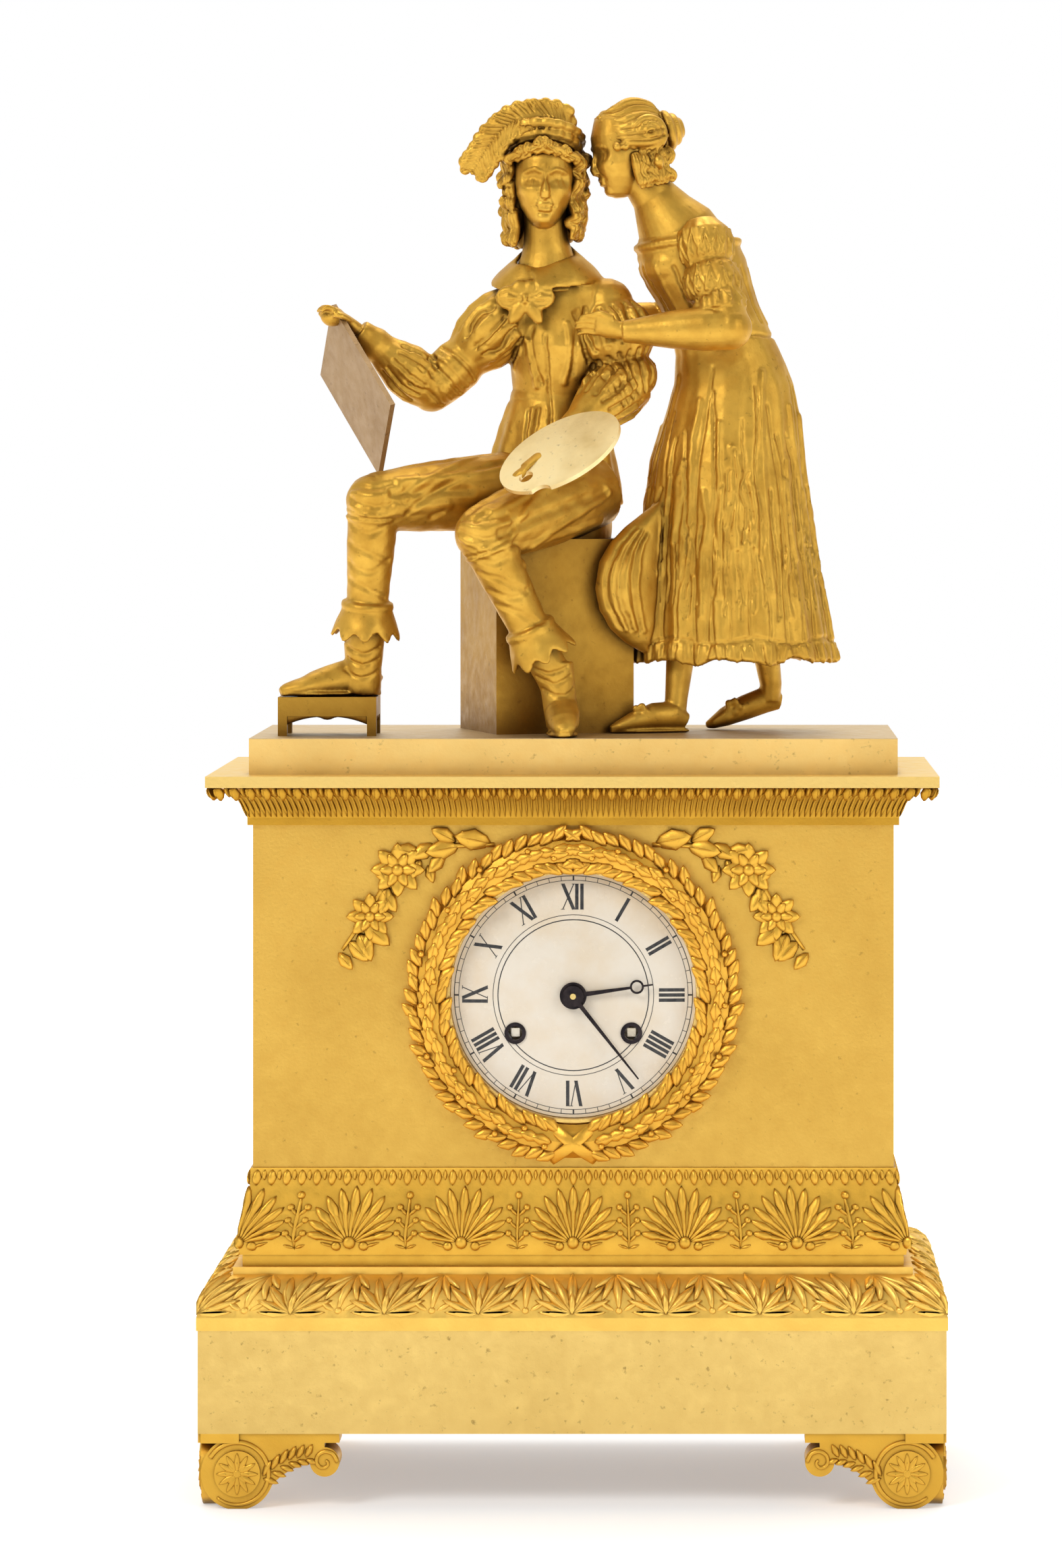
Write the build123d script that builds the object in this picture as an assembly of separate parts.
from build123d import *
import os
from math import acos, asin, atan2, cos, degrees, hypot, radians, sin, sqrt

# Gilt-bronze mantel clock with two figures and a round-plate movement.
# Frame: millimetres, +Z up, the front faces -Y, origin at the middle of the footprint.

# Case, from the feet up
PLINTH_W = 254.0
PLINTH_D = 130.0
FOOT_H = 25.6
PLINTH_H = 35.0
LEAF_H = 19.9
FRIEZE_H = 33.2
BODY_H = 117.3
CORNICE_H = 17.3
TERRACE_H = 12.3
WALL = 4.0
LEAF_LIP = 0.5
LEAF_INSET = 11.0
FRIEZE_INSET = 14.0
FRIEZE_FILLET = 3.9
BODY_INSET = 17.3
CORNICE_INSET = 15.5
CORNICE_REACH = 2.3
TERRACE_INSET = 16.0

# Scroll feet
FOOT_L = 48.0
FOOT_T = 13.0
FOOT_SLAB = 3.2
FOOT_RECESS = 1.0
FOOT_FLAT = 0.4
VOLUTE_R = 12.4
SMALL_VOLUTE_R = 5.0
ROSETTE_R = 7.8

# Dial, wreath and sprays
DIAL_R = 42.0
DIAL_T = 1.2
DIAL_DOME = 1.6
DIAL_ABOVE_BODY = 59.0
WREATH_R = 55.5
WREATH_T = 6.0
SPRAY_T = 2.6
BEZEL_WALL = 1.7
BEZEL_SHOULDER = 2.0
BEZEL_WEB = 4.4
BEZEL_BACK = 5.8
WEB_R = 31.0
FLANGE_R = 46.0
FLANGE_T = 1.2
DIAL_FOOT_R = 1.5
DIAL_FOOT_ANGLES = (50, 130, 230, 310)
FIT = 0.2
RUN = 0.05

# Leaves and flowers of the right-hand spray: place from the dial's centre, half sizes and turn
SPRAY = [
    (34.0, 51.5, 8.0, 3.6, -8), (46.5, 49.0, 7.5, 5.2, -20), (60.0, 43.0, 9.0, 9.0, 0),
    (66.0, 35.0, 6.5, 5.0, -60), (69.5, 27.0, 7.8, 7.8, 0), (77.5, 17.5, 7.5, 3.4, -52)]

# Movement
PLATE_R = 40.0
PLATE_T = 2.0
PLATE_GAP = 28.0
PLATE_BACK_OF_FACE = 11.0
PIVOT_R = 0.35
ARBOR_R = 0.9
WINDING_X = 19.9
WINDING_DROP = 13.0
WINDING_R = 2.0
WINDING_HOLE_R = 2.4
BARREL_R = 15.5
BELL_R = 29.0
BELL_FILL = 0.545
BELL_WALL = 1.5
PENDULUM_L = 134.4
BOB_R = 15.0
BOB_T = 7.0
CRUTCH_L = 26.0
ROD_R = 0.75
HOOK_R = 0.9
COCK_FOOT_X = 10.0
STRAP_W = 8.0
STRAP_T = 1.5
STRAP_X = PLATE_R + 1.8
PILLAR_ANGLES = (62, 182, 270, 358)
PILLAR_R = 1.9
PILLAR_RING_R = PLATE_R - 3.0
RIM = 1.3
SPOKE_W = 1.6
HUB_R = 2.6
RATCHET_R = 5.5
RATCHET_TEETH = 16
STUD_R = 0.8
CENTRE_R = 1.0
PIPE_R = 1.6
HOUR_PIPE_R = 2.3
PIN_RING_R = 6.5
FLY_R = 4.4
COUNT_R = 14.5
COUNT_PIVOT_R = 0.8
HOURS = range(1, 13)
HAMMER_R = 1.2
HAMMER_PIVOT_R = 0.6
HEAD_L = 5.0
BELL_AT = (0.0, -2.0)
BELL_NUT_T = 2.4
BELL_NUT_R = 3.0
STAND_AT = (15.0, -12.0)
STUD_HOLE_R = 1.5
END_SHAKE = 0.15

# Back bezel and door
DOOR_R = 47.5
DOOR_T = 1.6
DOOR_GAP = 0.4
DOOR_DOME = 1.2
BACK_HOLE_R = 46.0
BACK_TUBE_R = BACK_HOLE_R - FIT
BACK_TUBE_WALL = 2.0
FLANGE_BACK_R = 49.5
HINGE_X = 52.0
KNUCKLE_R = 1.8
KNUCKLE_L = 8.0
HINGE_GAP = 0.4
HINGE_PIN_R = 0.8

# Teeth: wheel teeth and pinion leaves have straight flanks with room to run
WHEEL_TOOTH = (0.80, 1.15, 0.16, 0.52)
PINION_LEAF = (0.70, 1.15, 0.16, 0.40)
BARREL_TEETH, BARREL_MODULE = 80, 0.45
SECOND_LEAVES = 10
INTERMEDIATE_TEETH, INTERMEDIATE_MODULE = 60, 0.40
CENTRE_LEAVES = 10
CENTRE_TEETH, CENTRE_MODULE = 84, 0.27
THIRD_LEAVES = 7
THIRD_TEETH, THIRD_MODULE = 72, 0.27
ESCAPE_LEAVES = 6
ESCAPE_TEETH, ESCAPE_R = 34, 8.0
CANNON_LEAVES, MINUTE_TEETH, CANNON_MODULE = 12, 36, 0.40
MINUTE_LEAVES, HOUR_TEETH = 10, 40
STRIKE_TEETH, STRIKE_MODULE = 90, 0.30
PIN_LEAVES = 8
PIN_TEETH, PIN_MODULE = 64, 0.30
LOCKING_LEAVES = 8
LOCKING_TEETH, LOCKING_MODULE = 56, 0.26
WARNING_LEAVES = 7
WARNING_TEETH, WARNING_MODULE = 48, 0.26
FLY_LEAVES = 6
PIN_COUNT = 8

# Hands, as angles clockwise from twelve
HOUR_ANGLE = 82.0
MINUTE_ANGLE = 141.6
HOUR_HAND_L = 27.5
MINUTE_HAND_L = 36.0
HAND_T = 0.6

# Figures: x, y and height above the terrace
SEAT_SIDE = 49.7
SEAT_H = 67.8
SEAT_TURN = 17.2
SEAT_AT = (-11.0, 9.1)
STOOL_W, STOOL_D, STOOL_H = 34.0, 24.0, 13.4
STOOL_AT = (-85.5, -20.0)
STOOL_LEG = 3.2
STOOL_TOP = 3.0
RIGHT_SHOULDER, RIGHT_ELBOW, RIGHT_WRIST = (-20, 1, 150), (-51, 0, 120), (-76, -10, 140.5)
RIGHT_HAND = (-87, -14, 148)
LEFT_SHOULDER, LEFT_ELBOW, LEFT_WRIST = (10, 1, 150), (17.5, -2, 123), (-8, -32, 99)
LEFT_HAND = (-20, -44, 91)
RIGHT_HIP, RIGHT_KNEE, RIGHT_ANKLE = (-12, 6, 86), (-69.5, -30, 81), (-73.5, -22, 24)
LEFT_HIP, LEFT_KNEE, LEFT_ANKLE = (6, 4, 85), (-31.5, -40, 70), (-6, -30, 18)
RIGHT_CUFF, LEFT_CUFF = 0.70, 0.76
PALETTE_AT = (-4.7, -42, 97.8)
PALETTE_L, PALETTE_W, PALETTE_T = 22.7, 17.0, 1.6
BOARD_AT = (-76.3, -13.3, 120.1)
BOARD_L, BOARD_W, BOARD_T = 50.2, 35.4, 1.8
GOWN_HEM = 23.4
GOWN_HOLLOW = 46.0

# Levels of the case
Z_PLINTH = FOOT_H
Z_LEAF = Z_PLINTH + PLINTH_H
Z_FRIEZE = Z_LEAF + LEAF_H
Z_BODY = Z_FRIEZE + FRIEZE_H
Z_CORNICE = Z_BODY + BODY_H
Z_TERRACE = Z_CORNICE + CORNICE_H
Z_TOP = Z_TERRACE + TERRACE_H
DIAL_Z = Z_BODY + DIAL_ABOVE_BODY
HALF_W = PLINTH_W / 2
HALF_D = PLINTH_D / 2
BODY_X = HALF_W - BODY_INSET
BODY_Y = HALF_D - BODY_INSET
FACE_Y = -BODY_Y

# Depths behind the body's face
HOUR_HAND_DEPTH = -3.0
MINUTE_HAND_DEPTH = -4.6
MINUTE_TIP = -5.6
PLATE_FRONT = PLATE_BACK_OF_FACE
INSIDE = PLATE_FRONT + PLATE_T
INSIDE_BACK = INSIDE + PLATE_GAP
PLATE_REAR = INSIDE_BACK + PLATE_T
COUNT_BACK = PLATE_REAR + 2.2
CRUTCH_DEPTH = PLATE_REAR + 3.2
COCK_FRONT = PLATE_REAR + 6.0
COCK_BACK = COCK_FRONT + 2.4
ROD_DEPTH = COCK_BACK + 1.4
BELL_FRONT = PLATE_REAR + 15.5
HAMMER_BACK = BELL_FRONT + 3.2
REAR = 2 * BODY_Y
BACK_WEB = REAR - WALL - 1.0
DOOR_FRONT = REAR + FLANGE_T + DOOR_GAP
BELL_DEPTH = BELL_FILL * (DOOR_FRONT - BELL_FRONT)
STAND_DEPTH = BELL_FRONT + 0.1 * BELL_DEPTH

nodes = {}


def largest(shape):
    """The biggest solid of a shape."""
    return max(shape.solids(), key=lambda solid: solid.volume)


def cut(piece, *others):
    """A piece with its larger neighbours taken out of it."""
    for other in others:
        piece = piece - other
    return largest(piece)


# Case

def moulded(start, *moves):
    """Solid with one moulding on all four sides, mitred at the corners.

    Points are (offset outward from the plinth's face, height); a move of four numbers is an arc
    through its first two.
    """
    def section(reach):
        edges = []
        here = (reach + start[0], start[1])
        for *middle, offset, height in moves:
            there = (reach + offset, height)
            if middle:
                edges.append(ThreePointArc(here, (reach + middle[0], middle[1]), there))
            else:
                edges.append(Line(here, there))
            here = there
        first = (reach + start[0], start[1])
        edges += [edge.mirror(Plane.YZ) for edge in edges]
        edges.append(Line((-here[0], here[1]), here))
        edges.append(Line((-first[0], first[1]), first))
        return make_face(edges)

    along = extrude(Plane.XZ * section(HALF_W), 2 * HALF_D, both=True)
    across = extrude(Plane.YZ * section(HALF_D), 2 * HALF_W, both=True)
    return along & across


def straight(inset, low, high):
    """Rectangular block set in from the plinth's faces."""
    return moulded((-inset, low), (-inset, high))


def build_case():
    plinth = straight(0, Z_PLINTH, Z_LEAF) - straight(WALL, Z_PLINTH - 1, Z_LEAF + 1)
    nodes["plinth"] = plinth

    leaf_foot, leaf_head = Z_LEAF + 0.22 * LEAF_H, Z_FRIEZE - 0.12 * LEAF_H
    leaf = moulded(
        (LEAF_LIP, Z_LEAF), (LEAF_LIP, leaf_foot),
        (LEAF_LIP - 0.37 * LEAF_INSET, (leaf_foot + leaf_head) / 2 + 1.5, -LEAF_INSET, leaf_head),
        (-LEAF_INSET, Z_FRIEZE))
    leaf_wall = LEAF_INSET + WALL + 2
    leaf -= moulded((-WALL, Z_LEAF), (-WALL, leaf_foot), (-leaf_wall, leaf_head - 1), (-leaf_wall, Z_FRIEZE))
    nodes["leaf_moulding"] = leaf

    swell, throat = FRIEZE_INSET - 0.8, BODY_INSET - 0.8
    ogee_low = Z_FRIEZE + FRIEZE_FILLET
    ogee_mid = (ogee_low + Z_BODY) / 2
    ogee_neck = (swell + throat) / 2
    frieze = moulded(
        (-FRIEZE_INSET, Z_FRIEZE), (-FRIEZE_INSET, ogee_low), (-swell, ogee_low),
        (-swell + 0.4, (ogee_low + ogee_mid) / 2 - 1, -ogee_neck, ogee_mid),
        (-throat + 0.4, (ogee_mid + Z_BODY) / 2, -throat, Z_BODY))
    frieze_foot, frieze_head = FRIEZE_INSET + WALL, throat + WALL
    frieze -= moulded((-frieze_foot, Z_FRIEZE), (-frieze_head, Z_BODY))
    nodes["palmette_frieze"] = frieze

    def panel(width, thick, x, y):
        return Pos(x, y, Z_BODY + BODY_H / 2) * Box(width, thick, BODY_H)

    wall_mid = BODY_Y - WALL / 2
    nodes["front_panel"] = panel(2 * BODY_X, WALL, 0, -wall_mid) - hole(0, 0, bezel_tube_r() + FIT)
    nodes["back_panel"] = panel(2 * BODY_X, WALL, 0, wall_mid) - hole(0, 0, BACK_HOLE_R)
    side_x = BODY_X - WALL / 2
    sides = [panel(WALL, 2 * (BODY_Y - WALL), x, 0) for x in (-side_x, side_x)]
    nodes["side_panels"] = sides

    fillet_low, fillet_high = Z_CORNICE + 2.5, Z_TERRACE - 3.8
    flare = CORNICE_REACH + 2.2
    cornice = moulded(
        (-CORNICE_INSET, Z_CORNICE), (-CORNICE_INSET, fillet_low),
        (-0.8 * CORNICE_INSET, fillet_low + 0.66 * (fillet_high - fillet_low), -flare, fillet_high),
        (-CORNICE_REACH, fillet_high), (-CORNICE_REACH, Z_TERRACE))
    nodes["cornice"] = cornice - straight(BODY_INSET + WALL, Z_CORNICE, Z_TERRACE - WALL)

    terrace = straight(TERRACE_INSET, Z_TERRACE, Z_TOP)
    nodes["terrace"] = terrace - straight(TERRACE_INSET + WALL, Z_TERRACE, Z_TOP - WALL)
    nodes["feet"] = build_feet()


def foot_wing():
    """Side view of a scroll foot: x inward from the plinth's corner, y up."""
    slab = Pos(FOOT_L / 2, FOOT_H - FOOT_SLAB / 2) * Rectangle(FOOT_L, FOOT_SLAB)
    eye_x, eye_y = VOLUTE_R + FOOT_RECESS, VOLUTE_R - FOOT_FLAT
    below = Pos(eye_x, -VOLUTE_R) * Rectangle(2 * VOLUTE_R, 2 * VOLUTE_R)
    volute = Pos(eye_x, eye_y) * Circle(VOLUTE_R) - below
    eye = (FOOT_L - SMALL_VOLUTE_R, FOOT_H - FOOT_SLAB - SMALL_VOLUTE_R - 1.5)
    small = Pos(*eye) * Circle(SMALL_VOLUTE_R)
    start = (eye_x, FOOT_H)
    spring = (eye_x + 0.8 * VOLUTE_R, 0.45 * VOLUTE_R)
    web = make_face([
        Line(start, (eye[0], FOOT_H)), Line((eye[0], FOOT_H), eye),
        ThreePointArc(eye, ((spring[0] + eye[0]) / 2 - 1.5, (spring[1] + eye[1]) / 2 + 2.5), spring),
        Line(spring, (eye_x, eye_y)), Line((eye_x, eye_y), start)])
    return slab + volute + small + web


def build_feet():
    corner = Pos(-HALF_W, -HALF_D)
    wing = foot_wing()
    front = corner * Pos(0, FOOT_RECESS) * extrude(Plane.XZ * wing, -FOOT_T)
    side = corner * Pos(FOOT_RECESS, 0) * extrude(Plane.YZ * wing, FOOT_T)
    eye = VOLUTE_R + FOOT_RECESS
    boss = Rot(90, 0, 0) * Cylinder(ROSETTE_R, 2 * FOOT_RECESS)
    turned_boss = Rot(0, 90, 0) * Cylinder(ROSETTE_R, 2 * FOOT_RECESS)
    foot = largest(front + side + corner * Pos(eye, FOOT_RECESS, VOLUTE_R - FOOT_FLAT) * boss
                   + corner * Pos(FOOT_RECESS, eye, VOLUTE_R - FOOT_FLAT) * turned_boss)
    pair = [foot, foot.mirror(Plane.YZ)]
    return pair + [one.mirror(Plane.XZ) for one in pair]


# Dial side of the case: x and z run from the dial's centre, depth runs back from the body's face

def facing(x, z, depth):
    """Plane that faces the viewer at a depth behind the body's face."""
    return Plane(origin=(x, FACE_Y + depth, DIAL_Z + z), x_dir=(1, 0, 0), z_dir=(0, -1, 0))


def disc(x, z, radius, front, back):
    return extrude(facing(x, z, back) * Circle(radius), back - front)


def plate(sketch, x, z, front, back):
    return extrude(facing(x, z, back) * sketch, back - front)


def hole(x, z, radius):
    """Bore right through the case, front to back."""
    return disc(x, z, radius, -1, 2 * BODY_Y + 1)


def ring(x, z, inner, outer, front, back):
    return disc(x, z, outer, front, back) - disc(x, z, inner, front - 1, back + 1)


def turned(x, z, *points):
    """Solid of revolution on a front-to-back axis from (radius, depth) points."""
    base = Plane(origin=(x, FACE_Y, DIAL_Z + z), x_dir=(1, 0, 0), z_dir=(0, 0, 1))
    profile = make_face(Polyline(*points, close=True))
    return revolve(base * profile, Axis((x, FACE_Y, DIAL_Z + z), (0, 1, 0)))


def polar(radius, angle):
    return radius * cos(radians(angle)), radius * sin(radians(angle))


def bezel_tube_r():
    return DIAL_R + FIT + BEZEL_WALL


def build_dial():
    tube = bezel_tube_r()
    inner = DIAL_R + FIT
    bezel = turned(
        0, 0, (inner, -3.2), (tube - 0.5, -3.2), (tube, -2.6), (tube, -FLANGE_T), (FLANGE_R, -FLANGE_T),
        (FLANGE_R, 0), (tube, 0), (tube, BEZEL_BACK), (WEB_R, BEZEL_BACK), (WEB_R, BEZEL_WEB),
        (inner - 2.0, BEZEL_WEB), (inner - 2.0, BEZEL_SHOULDER), (inner, BEZEL_SHOULDER))
    for angle in DIAL_FOOT_ANGLES:
        x, z = polar(PLATE_R - 4.5, angle)
        bezel += disc(x, z, DIAL_FOOT_R, BEZEL_WEB, PLATE_BACK_OF_FACE)
    nodes["dial_bezel"] = bezel

    base = Plane(origin=(0, FACE_Y, DIAL_Z), x_dir=(1, 0, 0), z_dir=(0, 0, 1))
    edge_front, edge_back = BEZEL_SHOULDER - DIAL_T, BEZEL_SHOULDER
    crown_front, crown_back = edge_front - DIAL_DOME, edge_back - DIAL_DOME
    half, quarter = DIAL_R / 2, DIAL_DOME / 4
    lens = make_face([
        Line((0, crown_back), (0, crown_front)),
        ThreePointArc((0, crown_front), (half, crown_front + quarter), (DIAL_R, edge_front)),
        Line((DIAL_R, edge_front), (DIAL_R, edge_back)),
        ThreePointArc((DIAL_R, edge_back), (half, crown_back + quarter), (0, crown_back))])
    dial = revolve(base * lens, Axis((0, FACE_Y, DIAL_Z), (0, 1, 0)))
    dial -= hole(0, 0, HOUR_PIPE_R + 2 * FIT)
    for x in (-WINDING_X, WINDING_X):
        dial -= hole(x, -WINDING_DROP, WINDING_HOLE_R)
    nodes["dial"] = dial

    inner_wreath = tube + FIT / 2
    middle = (inner_wreath + WREATH_R) / 2
    nodes["dial_wreath"] = turned(
        0, 0, (FLANGE_R + FIT, 0), (FLANGE_R + FIT, -FLANGE_T - FIT), (inner_wreath, -FLANGE_T - FIT),
        (inner_wreath, -0.55 * WREATH_T), (inner_wreath + 2.2, -0.9 * WREATH_T), (middle, -WREATH_T),
        (WREATH_R - 2.2, -0.8 * WREATH_T), (WREATH_R, -0.35 * WREATH_T), (WREATH_R, 0))
    nodes["floral_sprays"] = build_sprays()


def build_sprays():
    outline = Sketch()
    for x, z, long_half, short_half, turn in SPRAY:
        outline += Pos(x, z) * Rot(0, 0, turn) * Ellipse(long_half, short_half)
    spray = largest(plate(outline, 0, 0, -SPRAY_T, 0))
    return [spray.mirror(Plane.YZ), spray]


# Wheels and arbors

def tooth_ring(teeth, module, phase, form):
    add, ded, tip_share, root_share = form
    pitch_r = teeth * module / 2
    pitch = 360 / teeth
    tip, root = pitch_r + add * module, pitch_r - ded * module
    points = []
    for i in range(teeth):
        at = phase + i * pitch
        for radius, share in ((root, -root_share), (tip, -tip_share), (tip, tip_share), (root, root_share)):
            points.append(polar(radius, at + share * pitch / 2))
    return make_face(Polyline(*points, close=True))


def crossed(outline, rim_r, hub_r=HUB_R):
    """A wheel blank with four crossings cut out between hub and rim."""
    spokes = Rectangle(2 * rim_r, SPOKE_W) + Rectangle(SPOKE_W, 2 * rim_r)
    return outline - (Circle(rim_r) - Circle(hub_r) - spokes)


def wheel(teeth, module, phase=0.0, hub_r=HUB_R):
    rim_r = teeth * module / 2 - WHEEL_TOOTH[1] * module - RIM
    return crossed(tooth_ring(teeth, module, phase, WHEEL_TOOTH), rim_r, hub_r)


def pinion(leaves, module, phase):
    return tooth_ring(leaves, module, phase, PINION_LEAF)


def meet(a, reach_a, b, reach_b, side):
    """Point at set distances from a and b; side picks the left (1) or right (-1) of the line a to b."""
    dx, dz = b[0] - a[0], b[1] - a[1]
    apart = hypot(dx, dz)
    along = (reach_a**2 - reach_b**2 + apart**2) / (2 * apart)
    off = side * sqrt(reach_a**2 - along**2)
    return a[0] + (along * dx - off * dz) / apart, a[1] + (along * dz + off * dx) / apart


def beyond(a, reach, angle):
    dx, dz = polar(reach, angle)
    return a[0] + dx, a[1] + dz


def centres(teeth, leaves, module):
    return (teeth + leaves) * module / 2


def matched(at_a, teeth_a, phase_a, at_b, teeth_b):
    """Phase of wheel b whose gap takes the tooth of wheel a on their line of centres."""
    line = degrees(atan2(at_b[1] - at_a[1], at_b[0] - at_a[0]))
    past = ((line - phase_a) * teeth_a / 360) % 1
    return line + 180 + (past + 0.5) * 360 / teeth_b


# Where the arbors stand, from the dial's centre
CENTRE = (0.0, 0.0)
GOING_BARREL = (WINDING_X, -WINDING_DROP)
STRIKE_BARREL = (-WINDING_X, -WINDING_DROP)
INTERMEDIATE = meet(
    GOING_BARREL, centres(BARREL_TEETH, SECOND_LEAVES, BARREL_MODULE),
    CENTRE, centres(INTERMEDIATE_TEETH, CENTRE_LEAVES, INTERMEDIATE_MODULE), -1)
ESCAPE = (0.0, 22.0)
THIRD = meet(
    CENTRE, centres(CENTRE_TEETH, THIRD_LEAVES, CENTRE_MODULE),
    ESCAPE, centres(THIRD_TEETH, ESCAPE_LEAVES, THIRD_MODULE), 1)
PALLET_SPAN = 39.7
ANCHOR = (0.0, ESCAPE[1] + ESCAPE_R / cos(radians(PALLET_SPAN)))
MINUTE_STUD = (0.0, -centres(MINUTE_TEETH, CANNON_LEAVES, CANNON_MODULE))
STRIKE_SECOND = beyond(STRIKE_BARREL, centres(BARREL_TEETH, SECOND_LEAVES, BARREL_MODULE), 84)
PIN_ARBOR = beyond(STRIKE_SECOND, centres(STRIKE_TEETH, PIN_LEAVES, STRIKE_MODULE), 100)
LOCKING = beyond(PIN_ARBOR, centres(PIN_TEETH, LOCKING_LEAVES, PIN_MODULE), 10)
WARNING = beyond(LOCKING, centres(LOCKING_TEETH, WARNING_LEAVES, LOCKING_MODULE), 118)
FLY = beyond(WARNING, centres(WARNING_TEETH, FLY_LEAVES, WARNING_MODULE), 25)
HAMMER = (-33.5, 8.0)
HOUR_MODULE = 2 * -MINUTE_STUD[1] / (MINUTE_LEAVES + HOUR_TEETH)


def arbor(at, radius=ARBOR_R):
    """Arbor between the plates with a pivot in each."""
    body = disc(*at, radius, INSIDE + END_SHAKE, INSIDE_BACK - END_SHAKE)
    return body + disc(*at, PIVOT_R, PLATE_FRONT + 0.3, PLATE_REAR - 0.3)


def level(sketch, at, front, back):
    """Wheel or pinion at a level measured back from the front plate's inner face."""
    return plate(sketch, *at, INSIDE + front, INSIDE + back)


def build_going_train():
    second_phase = matched(GOING_BARREL, BARREL_TEETH, 0, INTERMEDIATE, SECOND_LEAVES)
    nodes["going_intermediate_wheel"] = (
        arbor(INTERMEDIATE)
        + level(pinion(SECOND_LEAVES, BARREL_MODULE, second_phase), INTERMEDIATE, 2.4, 5.4)
        + level(wheel(INTERMEDIATE_TEETH, INTERMEDIATE_MODULE), INTERMEDIATE, 23.0, 24.2))

    centre_phase = matched(INTERMEDIATE, INTERMEDIATE_TEETH, 0, CENTRE, CENTRE_LEAVES)
    nodes["centre_wheel"] = (
        disc(*CENTRE, CENTRE_R, MINUTE_TIP, INSIDE_BACK - END_SHAKE)
        + disc(*CENTRE, PIVOT_R, INSIDE_BACK - 1, PLATE_REAR - 0.3)
        + disc(*CENTRE, CENTRE_R + 0.5, INSIDE + END_SHAKE, INSIDE + 22.4)
        + level(pinion(CENTRE_LEAVES, INTERMEDIATE_MODULE, centre_phase), CENTRE, 22.4, 24.8)
        + level(wheel(CENTRE_TEETH, CENTRE_MODULE), CENTRE, 25.4, 26.4))

    third_phase = matched(CENTRE, CENTRE_TEETH, 0, THIRD, THIRD_LEAVES)
    nodes["third_wheel"] = (
        arbor(THIRD, 0.6) + level(pinion(THIRD_LEAVES, CENTRE_MODULE, third_phase), THIRD, 24.8, 27.0)
        + level(wheel(THIRD_TEETH, THIRD_MODULE), THIRD, 8.0, 9.0))

    escape_phase = matched(THIRD, THIRD_TEETH, 0, ESCAPE, ESCAPE_LEAVES)
    nodes["escape_wheel"] = (
        arbor(ESCAPE, 0.42) + level(pinion(ESCAPE_LEAVES, THIRD_MODULE, escape_phase), ESCAPE, 7.4, 9.6)
        + level(escape_outline(), ESCAPE, 4.0, 5.0))


def escape_outline():
    """Escape wheel with raked teeth."""
    pitch = 360 / ESCAPE_TEETH
    root = ESCAPE_R - 1.5
    points = []
    for i in range(ESCAPE_TEETH):
        at = 90 + i * pitch
        points += [polar(root, at - 0.55 * pitch), polar(root, at - 0.12 * pitch), polar(ESCAPE_R, at)]
    return crossed(make_face(Polyline(*points, close=True)), root - RIM, 2.0)


def build_barrels():
    for side, at in (("going", GOING_BARREL), ("strike", STRIKE_BARREL)):
        drum = turned(
            *at, (WINDING_R + RUN, INSIDE + 2.0), (5.0, INSIDE + 2.0), (5.0, INSIDE + 3.0),
            (BARREL_R, INSIDE + 3.0), (BARREL_R, INSIDE + 21.0), (5.0, INSIDE + 21.0),
            (5.0, INSIDE + 22.0), (WINDING_R + RUN, INSIDE + 22.0))
        great = tooth_ring(BARREL_TEETH, BARREL_MODULE, 0, WHEEL_TOOTH) - Circle(BARREL_R - 1)
        nodes[side + "_barrel"] = drum + level(great, at, 3.0, 4.8)

        square = Rectangle(2 * WINDING_R * 0.72, 2 * WINDING_R * 0.72)
        winding = (
            disc(*at, WINDING_R, PLATE_FRONT - 2.6, INSIDE_BACK - END_SHAKE)
            + disc(*at, 1.2, INSIDE_BACK - 1, PLATE_REAR - 0.3)
            + plate(square, *at, 2.4, PLATE_FRONT - 2.6)
            + plate(ratchet_outline(), *at, PLATE_FRONT - 1.6, PLATE_FRONT - 0.3)
            + disc(*at, 3.2, INSIDE + 22.0 + END_SHAKE, INSIDE + 23.0))
        nodes[side + "_winding_arbor"] = winding
    nodes["clicks"] = [build_click(at, turn) for at, turn in ((GOING_BARREL, 60), (STRIKE_BARREL, 120))]


def ratchet_outline():
    pitch = 360 / RATCHET_TEETH
    points = []
    for i in range(RATCHET_TEETH):
        points += [polar(RATCHET_R, i * pitch), polar(RATCHET_R - 1.0, (i + 0.12) * pitch)]
    return make_face(Polyline(*points, close=True))


def build_click(at, turn):
    """Pawl on a stud beside its ratchet, its nose just off the teeth."""
    stud = beyond(at, RATCHET_R + 5.5, turn)
    nose = beyond(at, RATCHET_R + 1.0, turn - 28)
    body = Pos(*stud) * Circle(2.0) + Pos(*nose) * Circle(0.7)
    body += make_hull(body.edges())
    pawl = plate(body, 0, 0, PLATE_FRONT - 1.6, PLATE_FRONT - 0.3)
    return largest(pawl + disc(*stud, 1.0, PLATE_FRONT - 2.2, PLATE_FRONT))


def hand(length, ring_at, ring_r, boss_r, pipe_r, width):
    """Slim hand that points up, with an open ring near its tip."""
    stem = make_face(Polyline((-width, 0), (width, 0), (0.25, length), (-0.25, length), close=True))
    outline = stem + Circle(boss_r)
    if ring_r:
        outline += Pos(0, ring_at) * Circle(ring_r)
        outline -= Pos(0, ring_at) * Circle(ring_r - 0.7)
    return outline - Circle(pipe_r)


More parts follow.
